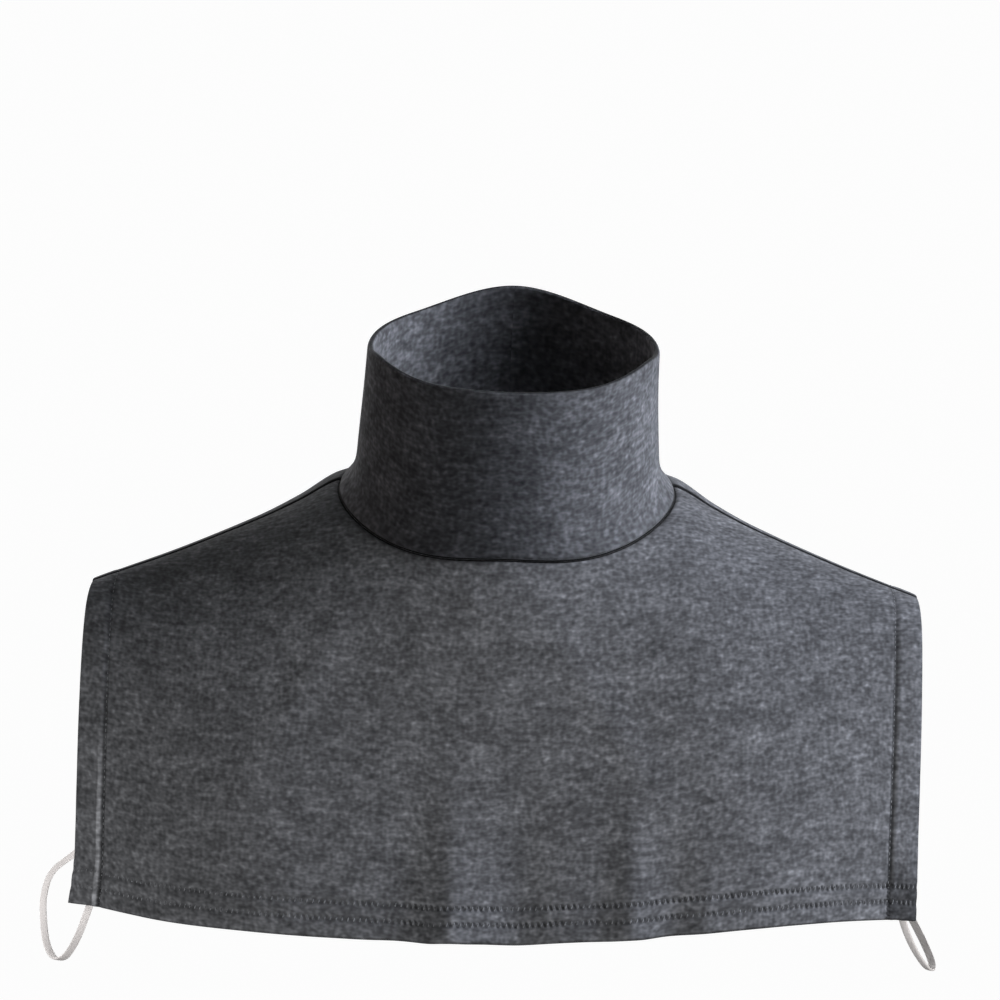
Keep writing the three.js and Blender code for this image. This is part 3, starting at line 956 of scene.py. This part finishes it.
def slit_painted_shade(tree, shade, run, below, noises):
    """The shade with painted shade in the leaning slits between the needle holes of a hem's stitch rows,
    fainter towards the left end.
    """
    strong = remap(tree, run, -130 * MM, -20 * MM, 0.4, 1.0)
    broken = remap(tree, noises["broad"], 0.35, 0.6, 0.3, 1.0)
    flecked = remap(tree, noises["fleck"], 0.35, 0.6, 0.45, 1.0)
    for row in HEM_ROWS:
        lean = maths(tree, "MULTIPLY", maths(tree, "SUBTRACT", below, row * MM), STITCH_LEAN)
        turns = maths(tree, "MULTIPLY", maths(tree, "ADD", run, lean), 2 * math.pi / (STITCH_PITCH * MM))
        slit = remap(tree, maths(tree, "COSINE", turns), 0.55, -0.7)
        slit = product(tree, slit, broken, flecked, strong, near(tree, below, row, 1.8))
        shade = darkened(tree, shade, slit, SLIT_PAINTED_SHADE)
    return shade


def jersey_material(name, colour):
    """Dark grey knit with light and dark flecks that run along its courses, with painted shade at seams, hem
    grooves, hem edge and needle slits, and a painted highlight and painted shadow on the front's side hems.
    """
    material, tree, shader = new_material(name)
    cloth, (run, _, layer) = cloth_map(tree, "cloth")
    _, (below, beside, seam) = cloth_map(tree, "edge")
    in_front = remap(tree, layer, 0.5 * LAYER_APART * MM, 0.1 * LAYER_APART * MM)

    shade, noises = knit_shade(tree, cloth)
    # Painted shade along the seams and along the collar's rim fold
    shade = darkened(tree, shade, near(tree, seam, 0.0, 1.0, 0.5), SEAM_PAINTED_SHADE)
    # Painted shade in the side hems' grooves and along the hem's edge, and a painted highlight and painted
    # shadow on the front's side hems
    shade = hem_painted_light_and_shade(tree, shade, run, below, beside, in_front)
    # Painted shade in the slits between the needle holes
    shade = slit_painted_shade(tree, shade, run, below, noises)
    tinted = node(tree, "ShaderNodeVectorMath", {"operation": "SCALE"}, _0=colour, _3=shade)
    tree.links.new(tinted.outputs[0], shader.inputs["Base Color"])

    set_shader(shader, Roughness=0.95, Specular_IOR_Level=0.06, Sheen_Weight=0.05, Sheen_Roughness=0.45)
    height = maths(tree, "MULTIPLY_ADD", noises["fleck"], 0.6, product(tree, noises["fine"], 0.5))
    raised = node(tree, "ShaderNodeBump", Strength=0.45, Distance=0.25 * MM, Height=height)
    tree.links.new(raised.outputs[0], shader.inputs["Normal"])
    return material


def thread_material():
    """Grey sewing thread in slightly uneven tones."""
    material, tree, shader = new_material("sewing_thread")
    place = node(tree, "ShaderNodeTexCoord").outputs["Object"]
    noise = node(tree, "ShaderNodeTexNoise", Vector=place, Scale=900.0, Detail=1.0).outputs[0]
    colour = blend_colour(tree, remap(tree, noise, 0.35, 0.65), *THREAD_COLOURS)
    tree.links.new(colour, shader.inputs["Base Color"])
    set_shader(shader, Roughness=0.75, Specular_IOR_Level=0.25)
    return material


def elastic_material():
    """White knitted elastic with fine ribs across it."""
    material, tree, shader = new_material("white_elastic")
    _, (_, along, _) = cloth_map(tree, "cloth")
    rib = maths(tree, "SINE", maths(tree, "MULTIPLY", along, 2 * math.pi / (RIB_PITCH * MM)))
    share = remap(tree, rib, -1.0, 1.0)
    colour = blend_colour(tree, share, *ELASTIC_COLOURS)
    tree.links.new(colour, shader.inputs["Base Color"])
    set_shader(shader, Roughness=0.7)
    raised = node(tree, "ShaderNodeBump", Strength=0.3, Distance=0.1 * MM, Height=share)
    tree.links.new(raised.outputs[0], shader.inputs["Normal"])
    return material


def pale_material(name, brightness):
    """A plain pale surface that gives off its own even light."""
    material, _, shader = new_material(name)
    set_shader(shader, Base_Color=(0.12, 0.12, 0.12, 1), Roughness=1.0, Emission_Color=(1, 1, 1, 1),
               Emission_Strength=brightness)
    return material


def collar_frame(angle):
    """The collar's middle surface as a function of the share of its height."""
    seam = neck_point(angle)
    around = np.arccos(np.clip(-np.sin(angle), -1, 1)) / math.pi
    height = COLLAR_HEIGHT * smooth_value(COLLAR_HEIGHTS, "around", "height", around)
    rim_x = RIM_WIDTH / 2 * np.cos(angle)
    rim_y = RIM_CENTRE_Y + RIM_DEPTH / 2 * np.sin(angle)

    def point(up):
        spread = smooth_value(COLLAR_PROFILE, "up", "spread", up)
        x = rim_x + (seam[..., 0] - rim_x) * spread + RIM_LEAN_X * up ** 2
        y = rim_y + (seam[..., 1] - rim_y) * spread
        return np.stack([x, y, seam[..., 2] + up * height], -1)

    return point, height


def collar_mesh(material):
    """The collar: one tube of jersey folded double at the rim, with a gap between its layers."""
    angle = np.linspace(math.pi / 2, math.pi * 5 / 2, COLLAR_COLUMNS, endpoint=False)[:, None]
    point, height = collar_frame(angle)
    ahead, _ = collar_frame(angle + SMALL_STEP)
    behind, _ = collar_frame(angle - SMALL_STEP)
    half = COLLAR_WALL / 2
    core = half - COLLAR_LAYER
    foot = np.linspace(0, 1, FOOT_ROWS)[:-1] ** 1.4 * COLLAR_FOOT
    outer_up = np.concatenate([foot, np.linspace(COLLAR_FOOT, 1, COLLAR_ROWS)])
    inner_up = np.linspace(0, 1, INNER_ROWS)
    fold = np.linspace(0, math.pi, RIM_ROWS)
    # Each row: share of the way to the fold's centre, height past it, offset from the middle
    profile = [(up, 0.0, half) for up in outer_up[:-1]]
    profile += [(1.0, half * math.sin(a), half * math.cos(a)) for a in fold]
    profile += [(up, 0.0, -half) for up in outer_up[-2::-1]]
    profile += [(up, 0.0, -core) for up in inner_up[:-1]]
    profile += [(1.0, core * math.sin(a), -core * math.cos(a)) for a in fold[::3]]
    profile += [(up, 0.0, core) for up in inner_up[-2::-1]]
    share, past, offset = (np.array(values)[None, :] for values in zip(*profile))
    up = share * (1 - half / height) + past / height
    step = np.where(up > 0.5, -SMALL_STEP, SMALL_STEP)
    here = point(up)
    upwards = (point(up + step) - here) / step[..., None]
    normal = unit(np.cross(ahead(up) - behind(up), upwards))
    from_seam = up * height
    girth = math.pi * (RIM_WIDTH + RIM_DEPTH) / 2
    run = ((angle - math.pi * 3 / 2) / (2 * math.pi)) * girth
    crease = along_lines(COLLAR_CREASES, run, from_seam)
    uneven = np.sin(run / 9 + np.sin(from_seam / 11)) * np.sin(from_seam / 13 + 0.8)
    crease = crease + COLLAR_WAVE * uneven
    left = seam_dip(from_seam)
    outside = offset > core * 1.01
    inside = offset < -core * 1.01
    offset = np.where(outside, offset * left - COLLAR_SINK * (1 - left), offset)
    offset = np.where(inside, offset + COLLAR_INNER_SINK * (1 - left), offset)
    loops = here + normal * (offset + crease * fading(past, half))[..., None]

    def closing(values):
        values = np.concatenate([values, values[:1] + np.array([girth, 0, 0])], axis=0)
        return np.concatenate([values, values[:, :1]], axis=1)

    layer = np.where(offset > 0, 0.0, LAYER_APART)
    cloth = np.stack(np.broadcast_arrays(run, from_seam, layer), -1)
    # The painted shade line of the seams runs along the neck seam on the outer layer and along the rim's
    # fold
    from_rim = (1 - up) * height + RIM_PAINTED_SHADE
    seams = np.where(offset > 0, np.minimum(from_seam, from_rim), from_rim)
    edge = np.stack(np.broadcast_arrays(FAR, FAR, seams), -1)
    maps = {"cloth": closing(cloth), "edge": closing(edge)}
    return loop_mesh("collar_cloth", loops, maps, material, closed=True)


def elastic_mesh(name, route, material):
    """A flat elastic along its route. Returns the piece and the centres of its rings."""
    points = np.array(route)
    walk = walked(points)
    rows = {"walk": walk, "x": points[:, 0], "y": points[:, 1], "z": points[:, 2]}
    at = np.linspace(0, walk[-1], ELASTIC_RINGS)
    line = np.stack([smooth_value(rows, "walk", column, at) for column in "xyz"], -1)
    forwards = unit(np.gradient(line, axis=0))
    side = unit(np.array([1.0, 0, 0]) - forwards * forwards[:, :1])
    flat = np.cross(forwards, side)
    twist = np.radians(ELASTIC_TWIST) * np.sin(np.linspace(0, 2 * math.pi, ELASTIC_RINGS))[:, None]
    wide = side * np.cos(twist) + flat * np.sin(twist)
    thin = flat * np.cos(twist) - side * np.sin(twist)
    turn = np.linspace(0, 2 * math.pi, ELASTIC_SIDES, endpoint=False)
    across = np.sign(np.cos(turn)) * np.abs(np.cos(turn)) ** 0.6 * ELASTIC_WIDTH / 2
    through = np.sign(np.sin(turn)) * np.abs(np.sin(turn)) ** 0.6 * ELASTIC_THICKNESS / 2
    rings = line[:, None] + wide[:, None] * across[:, None] + thin[:, None] * through[:, None]
    cloth = np.stack(np.broadcast_arrays(across[None, :], at[:, None], 0.0), -1)
    maps = {"cloth": np.concatenate([cloth, cloth[:, :1]], axis=1)}
    piece = loop_mesh(name, rings, maps, material, closed=False)
    return piece, line * MM


def stitch_mesh(name, centres, along, up, normal, half_length, radius, material):
    """Stitches as one mesh: each a short thread that dips into the cloth at both ends."""
    ring_places = np.array([-1.0, -0.86, -0.5, 0.0, 0.5, 0.86, 1.0])
    thick = radius * np.sqrt(np.maximum(1 - ring_places ** 2, 0.02))
    turn = np.linspace(0, 2 * math.pi, STITCH_SIDES, endpoint=False)
    lift = 0.3 * (1 - ring_places ** 2) - 0.12
    body = centres[:, None, None] + (
        up[:, None, None] * (half_length * ring_places)[:, None, None]
        + along[:, None, None] * (thick[:, None] * np.cos(turn))[..., None]
        + normal[:, None, None] * (thick[:, None] * np.sin(turn) + lift[:, None])[..., None]
    )
    count, rings, sides = body.shape[:3]
    n, r, s = np.meshgrid(np.arange(count), np.arange(rings - 1), np.arange(sides), indexing="ij")
    corner = [(r, s), (r, (s + 1) % sides), (r + 1, (s + 1) % sides), (r + 1, s)]
    faces = np.stack([n * rings * sides + a * sides + b for a, b in corner], -1).reshape(-1, 4)
    faces = faces.tolist()
    for index in range(count):
        first = index * rings * sides
        faces.append(list(range(first + sides - 1, first - 1, -1)))
        faces.append(list(range(first + (rings - 1) * sides, first + rings * sides)))
    return make_mesh(name, body.reshape(-1, 3), faces, material, {})


def bib_stitches(bib, material):
    """Twin rows along a bib's hem and one row along each side hem."""
    lengths = bib["lengths"]
    across_line = np.linspace(-1, 1, 801)
    places = []
    for row in HEM_ROWS:
        fall_line = 1 - share_from_hem(bib, across_line, row)
        run_line = lengths.at("from_middle", across_line, fall_line)
        count = int((run_line[-1] - 2) / STITCH_PITCH)
        wanted = np.arange(-count, count + 1) * STITCH_PITCH
        across = np.interp(wanted, run_line, across_line)
        places.append((across, 1 - share_from_hem(bib, across, row), False))
    fall_line = np.linspace(0, 1, 401)
    for side in (-1, 1):
        drop = lengths.at("from_hem", np.full_like(fall_line, side), fall_line)
        inset = side * (1 - share_from_side(bib, fall_line, side_row(drop)))
        down_line = lengths.at("from_hem", inset, fall_line)
        wanted = np.arange(1.5, down_line[0] - 2, STITCH_PITCH)
        fall = np.interp(wanted, down_line[::-1], fall_line[::-1])
        places.append((np.interp(fall, fall_line, inset), fall, True))
    parts = []
    for across, fall, upright in places:
        sunk = SIDE_SINK if upright else 0.0
        normal = bib_normal(bib, across, fall)
        centre = bib_face(bib, across, fall) - normal * sunk
        _, downwards = bib_slopes(bib, across, fall)
        up = unit(-downwards)
        along = unit(np.cross(up, normal))
        slant = 0.0 if upright else STITCH_LEAN
        lean = unit(up + along * slant)
        parts.append((centre, unit(np.cross(lean, normal)), lean, normal))
    centre, along, up, normal = (np.concatenate(values) for values in zip(*parts))
    return stitch_mesh(f"{bib['name']}_hem_stitches", centre, along, up, normal, STITCH_REACH,
                       STITCH_RADIUS, material)


def add_camera():
    """The camera, which looks at the origin from in front and a little above."""
    data = bpy.data.cameras.new("camera")
    data.sensor_width = SENSOR_WIDTH
    data.lens = SENSOR_WIDTH * CAMERA_DISTANCE / VIEW_WIDTH
    data.shift_x = -ORIGIN_RIGHT
    data.shift_y = -ORIGIN_UP
    data.clip_end = CAMERA_REACH * MM
    camera = bpy.data.objects.new("camera", data)
    bpy.context.scene.collection.objects.link(camera)
    elevation = math.radians(CAMERA_ELEVATION)
    back = Vector((0, -math.cos(elevation), math.sin(elevation)))
    turned = back.to_track_quat("Z", "Y").to_matrix().to_4x4()
    roll = Matrix.Rotation(math.radians(CAMERA_ROLL), 4, "Z")
    camera.matrix_world = Matrix.Translation(back * CAMERA_DISTANCE * MM) @ turned @ roll
    bpy.context.scene.camera = camera


def add_lights(masks):
    """The studio's lights. masks: the pieces of each group that lights fall on."""
    groups = {}
    for name, pieces in masks.items():
        groups[name] = bpy.data.collections.new(name)
        for piece in pieces:
            groups[name].objects.link(piece)
    for name, group, azimuth, elevation, softness, strength, colour in LIGHTS:
        data = bpy.data.lights.new(name, "SUN")
        data.angle = math.radians(softness)
        data.energy = strength
        data.color = colour
        light = bpy.data.objects.new(name, data)
        bpy.context.scene.collection.objects.link(light)
        azimuth = math.radians(azimuth)
        elevation = math.radians(elevation)
        out = Vector((math.sin(azimuth) * math.cos(elevation),
                      -math.cos(azimuth) * math.cos(elevation), math.sin(elevation)))
        light.matrix_world = out.to_track_quat("Z", "Y").to_matrix().to_4x4()
        light.light_linking.receiver_collection = groups[group]


def add_stage():
    """A pale floor far below and a plain pale studio all round, which give the cloth no light."""
    bpy.ops.mesh.primitive_plane_add(size=FLOOR_SIZE * MM, location=(0, 0, -FLOOR_DEPTH * MM))
    floor = bpy.context.object
    bpy.ops.mesh.primitive_uv_sphere_add(radius=STUDIO_RADIUS * MM, segments=48, ring_count=24)
    studio = bpy.context.object
    stage = ((floor, "floor", FLOOR_BRIGHTNESS), (studio, "studio", STUDIO_BRIGHTNESS))
    for piece, name, brightness in stage:
        piece.name = name
        piece.data.materials.append(pale_material(name, brightness))
        piece.visible_diffuse = False
        piece.visible_glossy = False
        piece.visible_shadow = False
    world = bpy.data.worlds.new("studio")
    world.use_nodes = True
    world.node_tree.nodes["Background"].inputs[0].default_value = AMBIENT_COLOUR
    world.node_tree.nodes["Background"].inputs[1].default_value = AMBIENT
    bpy.context.scene.world = world
    bpy.context.scene.view_settings.view_transform = "Standard"


add_camera()
elastic = elastic_material()
bands = []
for side, route in (("left", LEFT_ELASTIC_ROUTE), ("right", RIGHT_ELASTIC_ROUTE)):
    band, line = elastic_mesh(f"{side}_elastic_band", route, elastic)
    length = float(np.linalg.norm(np.diff(line, axis=0), axis=1).sum())
    bands.append(band)
    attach(band, "root")
    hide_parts(f"elastic_{side}")

jersey = jersey_material("heathered_jersey", JERSEY_COLOUR)
# The collar's copy of the jersey is a little darker, as painted shade
collar = collar_mesh(jersey_material("collar_shaded_jersey", COLLAR_SHADED_COLOUR))
front = bib_mesh(FRONT, jersey)
back = bib_mesh(BACK, jersey)
thread = thread_material()
front_stitches = bib_stitches(FRONT, thread)
back_stitches = bib_stitches(BACK, thread)
for piece in (collar, front, back, front_stitches, back_stitches):
    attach(piece, "root")
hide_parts("collar")
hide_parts("front_panel")
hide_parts("back_panel")
for bib, piece, stitches in ((FRONT, front, front_stitches), (BACK, back, back_stitches)):
    width, length, area = cut_size(bib)

bibs = [front, back, front_stitches, back_stitches]
add_lights({"cloth": [collar, *bibs], "collar": [collar], "bibs": bibs, "elastics": bands})
add_stage()
